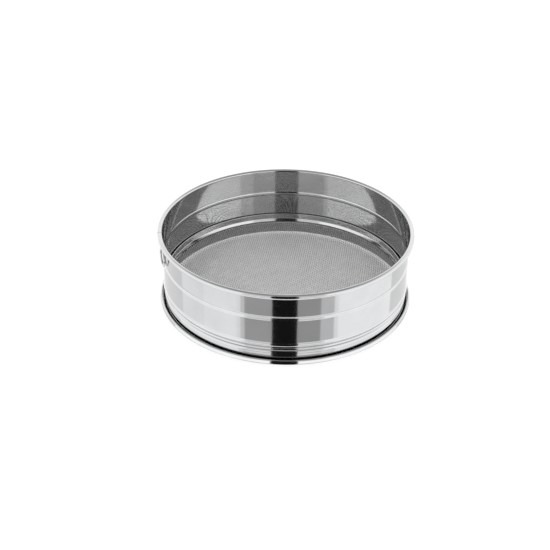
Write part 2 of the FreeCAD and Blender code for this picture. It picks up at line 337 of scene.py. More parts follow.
@dataclass(frozen=True)
class Section:
    """The centre line of a bent sheet, in the plane of the sieve's axis."""

    start: Vector
    heading: float
    steps: Sequence[Line | Arc]
    facet: float = 6.0
    hold: float = 0.3
    long_run: float = 3.0

    def places(self) -> list[Vector]:
        """Follows the steps.

        Returns:
            The centre line's points, with one close to each end of a long straight run, so that
            the shading of the bends stays off the straight runs.
        """
        here, heading, made = self.start.copy(), self.heading, [self.start.copy()]
        for step in self.steps:
            if isinstance(step, Line):
                along = facing(heading)
                if step.length > self.hold * self.long_run:
                    made += [here + along * self.hold, here + along * (step.length - self.hold)]
                here = here + along * step.length
                made.append(here)
                continue
            side = math.copysign(QUARTER_TURN, step.turn)
            centre = here + facing(heading + side) * step.radius
            parts = max(2, math.ceil(abs(step.turn) / self.facet))
            for part in range(1, parts + 1):
                here = centre + facing(heading + step.turn * part / parts - side) * step.radius
                made.append(here)
            heading += step.turn
        return made

    def end(self) -> tuple[Vector, float]:
        """Where the centre line ends: its place and its heading."""
        turned = sum(step.turn for step in self.steps if isinstance(step, Arc))
        return self.places()[-1], self.heading + turned


def rise_of(radius: float, turn: float) -> float:
    """How far a bend of that turn carries a sheet sideways from where it was heading."""
    return radius * (1.0 - math.cos(math.radians(turn)))


def run_of(radius: float, turn: float) -> float:
    """How far a bend of that turn carries a sheet along where it was heading."""
    return radius * math.sin(math.radians(turn))


# ------------------------------------------------------------------------------ the bench
def begin(name: str) -> bpy.types.Object:
    """Starts a piece from a small plane, whose corners are merged into one vertex at the origin.

    Args:
        name: the piece's name.

    Returns:
        The piece, in edit mode with its vertex selected.
    """
    bpy.ops.object.select_all(action="DESELECT")
    bpy.ops.mesh.primitive_plane_add(size=MM)
    piece = bpy.context.object
    piece.name = piece.data.name = name
    bpy.ops.object.mode_set(mode="EDIT")
    bpy.ops.mesh.select_mode(type="VERT")
    bpy.ops.mesh.select_all(action="SELECT")
    bpy.ops.mesh.merge(type="CENTER")
    return piece


def draw(name: str, places: Sequence[Vector]) -> bpy.types.Object:
    """Extrudes one vertex along a line of places.

    Args:
        name: the piece's name.
        places: the line's points, in metres.

    Returns:
        The piece, in edit mode with all of it selected.
    """
    piece = begin(name)
    bpy.ops.transform.translate(value=places[0])
    for here, there in zip(places, places[1:]):
        bpy.ops.mesh.extrude_region_move(TRANSFORM_OT_translate={"value": there - here})
    bpy.ops.mesh.select_all(action="SELECT")
    return piece


def turn_round(
    azimuth: float,
    sweep: float,
    steps: int,
    centre: Vector = ORIGIN,
    axis: Vector = UPRIGHT,
) -> None:
    """Spins what is selected about an axis, after turning it to where the spin starts.

    Args:
        azimuth: where the spin starts, in degrees.
        sweep: how far it goes.
        steps: how many facets it gets.
        centre: a point on the axis.
        axis: the axis.
    """
    if azimuth:
        turned = Quaternion(axis, math.radians(azimuth))
        place_mesh(turned, centre - turned @ centre)
    bpy.ops.mesh.spin(steps=steps, angle=-math.radians(sweep), center=centre, axis=axis)
    bpy.ops.mesh.select_all(action="SELECT")
    bpy.ops.mesh.remove_doubles(threshold=MERGE_DISTANCE)
    bpy.ops.mesh.normals_make_consistent(inside=False)


def place_mesh(turned: Quaternion, moved: Vector = ORIGIN) -> None:
    """Turns the mesh of the piece at hand about the origin and then moves it.

    The piece is left in edit mode with all of it selected, and its object stays at the origin.

    Args:
        turned: how it is turned.
        moved: how far it is moved after that.
    """
    piece = bpy.context.object
    bpy.ops.object.mode_set(mode="OBJECT")
    piece.matrix_world = Matrix.Translation(moved) @ turned.to_matrix().to_4x4()
    bpy.ops.object.transform_apply(location=True, rotation=True, scale=True)
    bpy.ops.object.mode_set(mode="EDIT")
    bpy.ops.mesh.select_all(action="SELECT")


def stand(piece: bpy.types.Object, name: str, turned: Quaternion, moved: Vector) -> None:
    """Names a new primitive and sets it up where it belongs, in edit mode.

    Args:
        piece: the primitive, which is at the origin.
        name: its name.
        turned: how it is turned.
        moved: how far it is moved after that.
    """
    piece.name = piece.data.name = name
    place_mesh(turned, moved)


def choose(piece: bpy.types.Object, wanted: Callable[[bpy.types.MeshVertex], bool]) -> None:
    """Selects a piece's wanted vertices only, and leaves it in edit mode.

    Args:
        piece: the piece, which is active and in object mode.
        wanted: whether a vertex is wanted.
    """
    bpy.ops.object.mode_set(mode="EDIT")
    bpy.ops.mesh.select_mode(type="VERT")
    bpy.ops.mesh.select_all(action="DESELECT")
    bpy.ops.object.mode_set(mode="OBJECT")
    for vertex in piece.data.vertices:
        vertex.select = wanted(vertex)
    bpy.ops.object.mode_set(mode="EDIT")


def apply_modifier(piece: bpy.types.Object, kind: str, **settings: object) -> None:
    """Adds a modifier and applies it.

    Args:
        piece: the piece, which is active and in object mode.
        kind: the modifier's type.
        settings: a value for each of its settings.
    """
    modifier = piece.modifiers.new(kind.lower(), kind)
    for name, value in settings.items():
        setattr(modifier, name, value)
    bpy.ops.object.modifier_apply(modifier=modifier.name)


def repeat(piece: bpy.types.Object, count: int, spacing: Vector) -> None:
    """Lays copies of a piece side by side, in one mesh.

    Args:
        piece: the piece, which is active and in object mode.
        count: how many there are in the end.
        spacing: from one to the next.
    """
    offset = {"use_relative_offset": False, "use_constant_offset": True}
    apply_modifier(piece, "ARRAY", count=count, constant_offset_displace=spacing, **offset)


def finish_edges(piece: bpy.types.Object, smooth_up_to: float = SMOOTH_UP_TO) -> None:
    """Shades a piece smooth, apart from its real edges.

    Args:
        piece: the piece, in object mode.
        smooth_up_to: the sharpest bend that is shaded smooth, in degrees.
    """
    bpy.ops.object.select_all(action="DESELECT")
    piece.select_set(True)
    bpy.context.view_layer.objects.active = piece
    bpy.ops.object.shade_smooth_by_angle(angle=math.radians(smooth_up_to))


def revolve_sheet(
    name: str, section: Section, sheet: float, steps: int, azimuth: float = 0.0, sweep: float = FULL_TURN
) -> bpy.types.Object:
    """Turns a bent sheet's section round the sieve's axis and gives it its thickness.

    Args:
        name: the piece's name.
        section: the sheet's centre line.
        sheet: its thickness in millimetres.
        steps: how many facets go round.
        azimuth: where it starts.
        sweep: how far it goes round.

    Returns:
        The finished piece.
    """
    piece = draw(name, [place * MM for place in section.places()])
    turn_round(azimuth, sweep, steps)
    bpy.ops.object.mode_set(mode="OBJECT")
    apply_modifier(piece, "SOLIDIFY", thickness=sheet * MM, offset=0.0, use_even_offset=True)
    finish_edges(piece)
    return piece


def revolve_wire(name: str, radius: float, wire: float, height: float, steps: int) -> bpy.types.Object:
    """Bends a round wire into a hoop round the sieve's axis.

    Args:
        name: the piece's name.
        radius: from the axis to the middle of the wire.
        wire: the wire's own radius.
        height: of the middle of the wire.
        steps: how many facets go round.

    Returns:
        The finished piece.
    """
    bpy.ops.object.select_all(action="DESELECT")
    bpy.ops.mesh.primitive_circle_add(vertices=HOOP_WIRE_SIDES, radius=wire * MM)
    piece = bpy.context.object
    stand(piece, name, FACE_FRONT, Vector((radius, 0.0, height)) * MM)
    turn_round(0.0, FULL_TURN, steps)
    bpy.ops.object.mode_set(mode="OBJECT")
    finish_edges(piece)
    return piece


def put_on(
    piece: bpy.types.Object, body: Body, slot: Slot, material: bpy.types.Material, *nodes: str
) -> bpy.types.Object:
    """Dresses a piece, sets it on its body and lets it stand for its nodes.

    Args:
        piece: the piece.
        body: what it moves with.
        slot: the record's slot of its finish; not used.
        material: its material.
        nodes: the nodes that it stands for.

    Returns:
        The piece.
    """
    piece.data.materials.clear()
    piece.data.materials.append(material)
    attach(piece, body.value)
    if nodes:
        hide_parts(*nodes)
    triangles = sum(len(face.vertices) - 2 for face in piece.data.polygons)
    LOG.info("%s on %s: %d triangles", piece.name, body.value, triangles)
    return piece


# ------------------------------------------------------------------------------ the drum
@dataclass
class Drum:
    """The drum's one bent strip, its weld and the wires in its edges. Sizes in millimetres."""

    sheet: float = 0.6
    wall_radius: float = 145.2
    rim_roll_radius: float = 3.1
    rim_roll_turn: float = 310.0
    core_play: float = 0.1
    groove_drop: float = 33.2
    groove_depth: float = 1.0
    groove_radius: float = 3.0
    groove_fillet: float = 2.0
    lower_bead_height: float = 1.1
    lower_bead_fillet: float = 1.8
    lower_bead_flank: float = 38.0
    ledge_z: float = 17.98
    ledge_depth: float = 2.2
    ledge_radius: float = 2.4
    ledge_fillet: float = 3.0
    flare_bend_radius: float = 3.0
    flare_angle: float = 5.0
    flare_height: float = 3.0
    hem_reach: float = 5.2
    hem_height: float = 6.5
    hem_corner_radius: float = 2.0
    hem_lean: float = 10.0
    hem_lip_radius: float = 0.9
    hem_lip_turn: float = 110.0
    seam_azimuth: float = 187.5
    seam_gap: float = 0.5
    seam_relief: float = 0.12
    seam_steps: int = 2
    steps: int = 224

    def __post_init__(self) -> None:
        """Takes the drum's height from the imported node, and works out what follows from its sizes."""
        self.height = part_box("drum_shell")[1].z / MM
        self.hem_radius = self.wall_radius + self.hem_reach
        self.rim_centre_z = self.height - self.rim_roll_radius
        self.rim_centre_radius = self.wall_radius - self.sheet + self.rim_roll_radius
        self.half_gap = math.degrees(self.seam_gap / 2 / self.wall_radius)

    def ledge_steps(self, from_z: float) -> list[Line | Arc]:
        """The lower band, the bead under it and the ledge.

        Args:
            from_z: where the groove above them ends.

        Returns:
            Their steps.
        """
        flank = self.lower_bead_flank
        bends = self.lower_bead_height / rise_of(1.0, flank)
        crest = bends - self.lower_bead_fillet
        across = self.lower_bead_height + self.ledge_depth - rise_of(crest + self.ledge_radius, flank)
        slope = across / math.sin(math.radians(flank))
        along = slope * math.cos(math.radians(flank))
        bead_top = self.ledge_z + run_of(crest + self.ledge_radius + bends, flank) + along
        under = math.degrees(math.acos(1 - self.ledge_depth / (self.ledge_radius + self.ledge_fillet)))
        return [
            Line(from_z - bead_top),
            Arc(self.lower_bead_fillet, flank),
            Arc(crest, -2 * flank),
            Line(slope),
            Arc(self.ledge_radius, flank + under),
            Arc(self.ledge_fillet, -under),
        ]

    def wall_steps(self) -> list[Line | Arc]:
        """From the foot of the rolled rim down to the foot of the skirt.

        Returns:
            The steps of the upper band, the groove under it, the lower band, the ledge and the skirt.
        """
        bends = self.groove_fillet + self.groove_radius
        flank = math.degrees(math.acos(1 - self.groove_depth / bends))
        half = run_of(bends, flank)
        return [
            Line(self.groove_drop - self.rim_roll_radius - half),
            Arc(self.groove_fillet, -flank),
            Arc(self.groove_radius, 2 * flank),
            Arc(self.groove_fillet, -flank),
            *self.ledge_steps(self.height - self.groove_drop - half),
            Arc(self.flare_bend_radius, self.flare_angle),
            Line(self.flare_height),
            Arc(self.flare_bend_radius, -self.flare_angle),
        ]

    def wall(self) -> Section:
        """The strip's section between the rim and the hem."""
        top = Vector((self.wall_radius - self.sheet / 2, 0.0, self.rim_centre_z))
        return Section(top, DOWN, self.wall_steps())

    def hem_steps(self, foot: Vector) -> list[Line | Arc]:
        """The hem, from the foot of the skirt round to its lip.

        Args:
            foot: where the skirt ends.

        Returns:
            Its steps.
        """
        corner, lip = self.hem_corner_radius, self.hem_lip_radius
        across = self.hem_radius - self.sheet / 2 - foot.x
        bends = corner + lip + run_of(corner - lip, self.hem_lean)
        side = (self.hem_height - self.sheet - bends) / math.cos(math.radians(self.hem_lean))
        return [
            Line(foot.z - self.sheet / 2 - corner),
            Arc(corner, QUARTER_TURN),
            Line(across - 2 * corner),
            Arc(corner, QUARTER_TURN + self.hem_lean),
            Line(side),
            Arc(lip, self.hem_lip_turn),
        ]

    def strip(self) -> Section:
        """The whole strip's section, from the end inside the rim's roll to the hem's lip.

        Returns:
            The section.
        """
        wall = self.wall()
        roll_radius = self.rim_roll_radius - self.sheet / 2
        roll_end, heading = Section(wall.start, UP, [Arc(roll_radius, -self.rim_roll_turn)]).end()
        steps = [Arc(roll_radius, self.rim_roll_turn), *wall.steps, *self.hem_steps(wall.end()[0])]
        return Section(roll_end, heading + HALF_TURN, steps)

    def polished_strip(self) -> bpy.types.Object:
        """The strip, rolled round to the two sides of its seam.

        Returns:
            The strip.
        """
        start, sweep = self.seam_azimuth + self.half_gap, FULL_TURN - 2 * self.half_gap
        return revolve_sheet("drum_polished_strip", self.strip(), self.sheet, self.steps, start, sweep)

    def seam_bead(self) -> bpy.types.Object:
        """The weld along the seam, a little lower than the sheet on both of its sides.

        Returns:
            The weld.
        """
        start, sweep = self.seam_azimuth - self.half_gap, 2 * self.half_gap
        thickness = self.sheet - 2 * self.seam_relief
        return revolve_sheet("drum_seam_bead", self.wall(), thickness, self.seam_steps, start, sweep)

    def rim_hoop(self) -> bpy.types.Object:
        """The wire that the rim is rolled over.

        Returns:
            The wire.
        """
        wire = self.rim_roll_radius - self.sheet - self.core_play
        return revolve_wire("rim_hoop_wire", self.rim_centre_radius, wire, self.rim_centre_z, self.steps)

    def hem_hoop(self) -> bpy.types.Object:
        """The wire that lies in the hem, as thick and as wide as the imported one.

        Returns:
            The wire.
        """
        low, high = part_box("hem_core_wire")
        wire = (high.z - low.z) / 2 / MM
        radius, height = high.x / MM - wire, (high.z + low.z) / 2 / MM
        return revolve_wire("hem_hoop_wire", radius, wire, height, self.steps)

    def build(
        self, polished: bpy.types.Material, weld: bpy.types.Material, wire: bpy.types.Material
    ) -> None:
        """Makes the strip, its weld and its two wires.

        Args:
            polished: finish of the strip.
            weld: finish of the weld.
            wire: finish of the wires.
        """
        put_on(self.polished_strip(), Body.DRUM, Slot.DRUM, polished, "drum_shell")
        put_on(self.seam_bead(), Body.DRUM, Slot.WELD, weld, "drum_seam_weld")
        put_on(self.rim_hoop(), Body.DRUM, Slot.CORE, wire, "rim_core_wire")
        put_on(self.hem_hoop(), Body.DRUM, Slot.CORE, wire, "hem_core_wire")


# ------------------------------------------------------------------------------ the screen
@dataclass
class Screen:
    """The lift-out screen: a stepped ring, the woven cloth and a folded ring. Millimetres."""

    sheet: float = 0.5
    pinch: float = 0.02
    flange_width: float = 1.65
    step_down: float = 1.8
    seat_width: float = 2.6
    step_bend: float = 0.35
    upper_width: float = 3.9
    leg_lean: float = 26.0
    leg_turn: float = 6.0
    leg_curve: float = 32.0
    crest: float = 0.35
    valley: float = 0.3
    shoulder_slope: float = 82.0
    wire: float = 0.6
    pitch: float = 2.6
    cloth_turn: float = -7.0
    cloth_radius: float = 141.1
    wires_each_way: int = 109
    wire_sides: int = 6
    parts_per_crimp: int = 3
    wire_smooth_up_to: float = 75.0
    groups: int = 3
    lower_facet: float = 15.0
    upper_facet: float = 5.0
    upper_hold: float = 0.2
    steps: int = 240

    def __post_init__(self) -> None:
        """Takes the screen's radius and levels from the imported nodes."""
        low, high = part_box("screen_lower_ring")
        self.outer_radius = high.x / MM
        self.flange_z = high.z / MM - self.sheet / 2
        self.cloth_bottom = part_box("screen_weft_wires")[0].z / MM
        self.cloth_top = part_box("screen_warp_wires")[1].z / MM

    def lower_section(self) -> Section:
        """The stepped ring: flange, riser and the seat of the cloth.

        Returns:
            The section.
        """
        steps = [
            Line(self.flange_width - self.step_bend),
            Arc(self.step_bend, QUARTER_TURN),
            Line(self.step_down - 2 * self.step_bend),
            Arc(self.step_bend, -QUARTER_TURN),
            Line(self.seat_width - self.step_bend),
        ]
        return Section(Vector((self.outer_radius, 0.0, self.flange_z)), INWARD, steps, self.lower_facet)

    def upper_section(self) -> Section:
        """The folded ring: leaning leg, beaded shoulder and outer leg.

        Returns:
            The section.
        """
        lift = self.sheet / 2 * math.sin(math.radians(self.leg_lean))
        foot = Vector((self.outer_radius - self.upper_width, 0.0, self.cloth_top + self.pinch + lift))
        leg = [Arc(self.leg_curve, -self.leg_turn)]
        leg_top, heading = Section(foot, UP - self.leg_lean, leg).end()
        rise = math.radians(self.shoulder_slope)
        crest_share = math.sin(math.radians(heading)) + math.sin(rise) + 1
        bends = self.crest * crest_share + self.valley * math.sin(rise)
        slope = (self.outer_radius - self.sheet / 2 - leg_top.x - bends) / math.cos(rise)
        shoulder = [
            Arc(self.crest, -heading),
            Arc(self.valley, self.shoulder_slope),
            Line(slope),
            Arc(self.crest, -QUARTER_TURN - self.shoulder_slope),
        ]
        top = Section(foot, UP - self.leg_lean, leg + shoulder).end()[0]
        steps = [*leg, *shoulder, Line(top.z - (self.flange_z + self.sheet / 2))]
        return Section(foot, UP - self.leg_lean, steps, self.upper_facet, self.upper_hold)

    def crimped_wires(self, name: str, rows: Sequence[int], layer: Layer) -> bpy.types.Object:
        """Weaves some of one layer's wires.

        At the cloth's middle crossing the weft passes over and the warp under.

        Args:
            name: the piece's name.
            rows: which wires, counted from the middle one.
            layer: the layer.

        Returns:
            The finished piece.
        """
        weft = layer is Layer.WEFT
        sign = 1.0 if weft else -1.0
        direction = self.cloth_turn if weft else self.cloth_turn + QUARTER_TURN
        wire_radius = self.wire / 2 * MM
        pitch = self.pitch * MM
        middle = (self.cloth_top + self.cloth_bottom) / 2 * MM
        swing = sign * ((self.cloth_top - self.cloth_bottom) / 2 * MM - wire_radius)
        parts, reach = self.parts_per_crimp, self.wires_each_way // 2 + 1
        bpy.ops.object.select_all(action="DESELECT")
        bpy.ops.mesh.primitive_circle_add(vertices=self.wire_sides, radius=wire_radius)
        piece = bpy.context.object
        stand(piece, name, FACE_ACROSS, Vector((-reach * pitch, 0.0, middle)))
        levels = [swing * math.cos(math.pi * (part / parts - reach)) for part in range(2 * parts + 1)]
        bpy.ops.transform.translate(value=(0.0, 0.0, levels[0]))
        for low, high in zip(levels, levels[1:]):
            bpy.ops.mesh.extrude_region_move(
                TRANSFORM_OT_translate={"value": (pitch / parts, 0.0, high - low)}
            )
        bpy.ops.object.mode_set(mode="OBJECT")
        repeat(piece, reach, Vector((2 * pitch, 0.0, 0.0)))
        bpy.ops.object.mode_set(mode="EDIT")
        bpy.ops.mesh.select_mode(type="VERT")
        bpy.ops.mesh.select_all(action="SELECT")
        bpy.ops.mesh.remove_doubles(threshold=MERGE_DISTANCE)
        bpy.ops.object.mode_set(mode="OBJECT")
        repeat(piece, len(rows), Vector((0.0, pitch, 0.0)))
        self.stagger_and_trim(piece, rows, middle)
        place_mesh(Quaternion(UPRIGHT, math.radians(direction)))
        bpy.ops.mesh.normals_make_consistent(inside=False)
        bpy.ops.object.mode_set(mode="OBJECT")
        finish_edges(piece, self.wire_smooth_up_to)
        return piece

    def stagger_and_trim(self, piece: bpy.types.Object, rows: Sequence[int], middle: float) -> None:
        """Puts the wires in their rows, turns every second one over and cuts all to the cloth's circle.

        Args:
            piece: the wires, as copies of the middle one side by side.
            rows: which wires they are, counted from the middle one.
            middle: the cloth's middle level.
        """
        pitch, edge = self.pitch * MM, self.cloth_radius * MM
        for vertex in piece.data.vertices:
            row = rows[0] + round(vertex.co.y / pitch)
            vertex.co.y += rows[0] * pitch
            if row % 2:
                vertex.co.z = 2 * middle - vertex.co.z
        choose(piece, lambda vertex: math.hypot(vertex.co.x, round(vertex.co.y / pitch) * pitch) > edge)
        bpy.ops.mesh.delete(type="VERT")
        bpy.ops.mesh.select_all(action="SELECT")
        bpy.ops.mesh.fill_holes(sides=self.wire_sides)
        bpy.ops.object.mode_set(mode="OBJECT")

    def build(self, rolled: bpy.types.Material, wire: bpy.types.Material) -> None:
        """Makes both rings and the cloth.

        Args:
            rolled: finish of the rings.
            wire: finish of the cloth.
        """
        lower = revolve_sheet("screen_stepped_ring", self.lower_section(), self.sheet, self.steps)
        put_on(lower, Body.SCREEN, Slot.SCREEN_RING, rolled, "screen_lower_ring")
        upper = revolve_sheet("screen_folded_ring", self.upper_section(), self.sheet, self.steps)
        put_on(upper, Body.SCREEN, Slot.SCREEN_RING, rolled, "screen_upper_ring")
        half = self.wires_each_way // 2
        rows = list(range(-half, half + 1))
        share = math.ceil(len(rows) / self.groups)
        for group in range(self.groups):
            some = rows[group * share : (group + 1) * share]
            for layer in Layer:
                cloth = self.crimped_wires(f"cloth_{layer.value}_{group + 1}", some, layer)
                put_on(cloth, Body.SCREEN, Slot.CLOTH, wire, f"screen_{layer.value}_wires")


# ------------------------------------------------------------------------------ the hanger
@dataclass
class Hanger:
    """The strap under the rim, its two welds and the loose ring. Sizes in millimetres."""

    azimuth: float = 196.5
    wall_radius: float = 145.2
    strap_sheet: float = 0.8
    strap_width: float = 6.0
    strap_bottom: float = 65.75
    strap_standoff: float = 0.03
    eye_x: float = 147.68
    eye_z: float = 83.0
    eye_radius: float = 2.05
    ring_wire: float = 2.5
    ring_radius: float = 10.75
    ring_joint_gap: float = 0.12
    weld_heights: tuple[float, float] = (69.15, 74.35)
    weld_diameter: float = 3.2
    weld_proud: float = 0.2
    weld_sides: int = 40
    weld_foot: float = 0.1
    weld_inset_share: float = 0.27
    weld_crown_steps: tuple[float, ...] = (0.06, 0.03, 0.01)
    weld_smooth_up_to: float = 50.0
    drill_reach: float = 2.0
    eye_turn: float = 345.0
    eye_facet: float = 10.0
    end_rounding_share: float = 0.49
    end_segments: int = 10
    edge_bevel: float = 0.12
    edge_segments: int = 3
    edge_sharper_than: float = 50.0
    ring_sides: int = 24
    ring_steps: int = 96
    close_by: float = 0.1

    def turn_to_hanger(self) -> None:
        """Turns the piece at hand, made over +X, to the hanger's azimuth."""
        place_mesh(Quaternion(UPRIGHT, math.radians(self.azimuth)))
        bpy.ops.object.mode_set(mode="OBJECT")

    def weld_pin(self, name: str, from_x: float, to_x: float, height: float) -> bpy.types.Object:
        """A round bar along X at one weld's place, as thick as a weld.

        Args:
            name: the bar's name.
            from_x: where it starts.
            to_x: where it ends.
            height: of its middle.

        Returns:
            The bar.
        """
        bpy.ops.object.select_all(action="DESELECT")
        length, radius = (to_x - from_x) * MM, self.weld_diameter / 2 * MM
        bpy.ops.mesh.primitive_cylinder_add(vertices=self.weld_sides, radius=radius, depth=length)
        piece = bpy.context.object
        stand(piece, name, FACE_ACROSS, Vector(((from_x + to_x) / 2, 0.0, height)) * MM)
        bpy.ops.mesh.normals_make_consistent(inside=False)
        bpy.ops.object.mode_set(mode="OBJECT")
        return piece

    def bent_leaf(self, leaf_x: float) -> bpy.types.Object:
        """The strap's leaf with its round end and its rolled eye, before it gets its thickness.

        Args:
            leaf_x: where the middle of the leaf's sheet is.

        Returns:
            The leaf, in object mode.
        """
        steps = [Line(self.eye_z - self.strap_bottom), Arc(self.eye_radius, -self.eye_turn)]
        line = Section(Vector((leaf_x, 0.0, self.strap_bottom)), UP, steps, self.eye_facet)
        piece = draw("hanger_rolled_strap", [place * MM for place in line.places()])
        half = Vector((0.0, self.strap_width / 2 * MM, 0.0))
        bpy.ops.transform.translate(value=-half)
        bpy.ops.mesh.extrude_region_move(TRANSFORM_OT_translate={"value": 2 * half})
        bpy.ops.object.mode_set(mode="OBJECT")
        choose(piece, lambda vertex: vertex.co.z < (self.strap_bottom + self.close_by) * MM)
        rounding = self.strap_width * self.end_rounding_share * MM
        bpy.ops.mesh.bevel(offset=rounding, segments=self.end_segments, affect="VERTICES")
        bpy.ops.object.mode_set(mode="OBJECT")
        return piece

    def strap(self) -> bpy.types.Object:
        """The strap: a leaf with a round end, its two holes and a rolled eye.

        Returns:
            The strap.
        """
        leaf_x = self.wall_radius + self.strap_standoff + self.strap_sheet / 2
        piece = self.bent_leaf(leaf_x)
        apply_modifier(piece, "SOLIDIFY", thickness=self.strap_sheet * MM, offset=0.0, use_even_offset=True)
        for height in self.weld_heights:
            drill = self.weld_pin("drill", leaf_x - self.drill_reach, leaf_x + self.drill_reach, height)
            bpy.ops.object.select_all(action="DESELECT")
            piece.select_set(True)
            bpy.context.view_layer.objects.active = piece
            apply_modifier(piece, "BOOLEAN", operation="DIFFERENCE", solver="EXACT", object=drill)
            bpy.data.objects.remove(drill)
        apply_modifier(
            piece,
            "BEVEL",
            width=self.edge_bevel * MM,
            segments=self.edge_segments,
            limit_method="ANGLE",
            angle_limit=math.radians(self.edge_sharper_than),
        )
        self.turn_to_hanger()
        finish_edges(piece)
        return piece

    def weld(self, name: str, height: float) -> bpy.types.Object:
        """One plug of weld, crowned where it stands out of the strap.

        Args:
            name: the piece's name.
            height: of its middle.

        Returns:
            The plug.
        """
        crown_rise = sum(self.weld_crown_steps)
        rim_x = self.wall_radius + self.strap_standoff + self.strap_sheet + self.weld_proud - crown_rise
        piece = self.weld_pin(name, self.wall_radius - self.weld_foot, rim_x, height)
        bpy.ops.object.mode_set(mode="EDIT")
        bpy.ops.mesh.select_mode(type="FACE")
        bpy.ops.mesh.select_all(action="DESELECT")
        bpy.ops.object.mode_set(mode="OBJECT")
        for face in piece.data.polygons:
            face.select = face.normal.x > abs(face.normal.y) + abs(face.normal.z)
        bpy.ops.object.mode_set(mode="EDIT")
        for rise in self.weld_crown_steps:
            bpy.ops.mesh.inset(thickness=self.weld_diameter / 2 * self.weld_inset_share * MM, depth=0.0)
            bpy.ops.transform.translate(value=(rise * MM, 0.0, 0.0))
        self.turn_to_hanger()
        finish_edges(piece, self.weld_smooth_up_to)
        return piece

    def ring(self) -> bpy.types.Object:
        """The loose ring: one wire bent round until its ends meet at the bottom.

        Returns:
            The ring.
        """
        low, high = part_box("hanging_ring")
        centre = Vector((self.eye_x * MM, 0.0, (low.z + high.z) / 2))
        half_gap = math.degrees(self.ring_joint_gap / 2 / self.ring_radius)
        bpy.ops.object.select_all(action="DESELECT")
        wire_radius = self.ring_wire / 2 * MM
        bpy.ops.mesh.primitive_circle_add(vertices=self.ring_sides, radius=wire_radius, fill_type="NGON")
        piece = bpy.context.object
        stand(piece, "hanging_wire_ring", FACE_FRONT, centre - UPRIGHT * self.ring_radius * MM)
        turn_round(half_gap, FULL_TURN - 2 * half_gap, self.ring_steps, centre, ACROSS)
        self.turn_to_hanger()
        finish_edges(piece)
        return piece

    def build(self, polished: bpy.types.Material, weld: bpy.types.Material) -> None:
        """Makes the strap, its welds and the ring.

        Args:
            polished: finish of the strap and the ring.
            weld: finish of the welds.
        """
        put_on(self.strap(), Body.DRUM, Slot.HANGER, polished, "hanger_strap")
        for name, height in zip(("lower", "upper"), self.weld_heights):
            plug = self.weld(f"hanger_{name}_weld", height)
            put_on(plug, Body.DRUM, Slot.WELD, weld, "hanger_plug_welds")
        put_on(self.ring(), Body.RING, Slot.HANGER, polished, "hanging_ring")


# ------------------------------------------------------------------------------ the studio
@dataclass(frozen=True)
class Card:
    """A reflector or flag that only the steel's reflections see. Degrees from the front, and up."""

    name: str
    left: float
    right: float
    low: float
    high: float
    glow: float


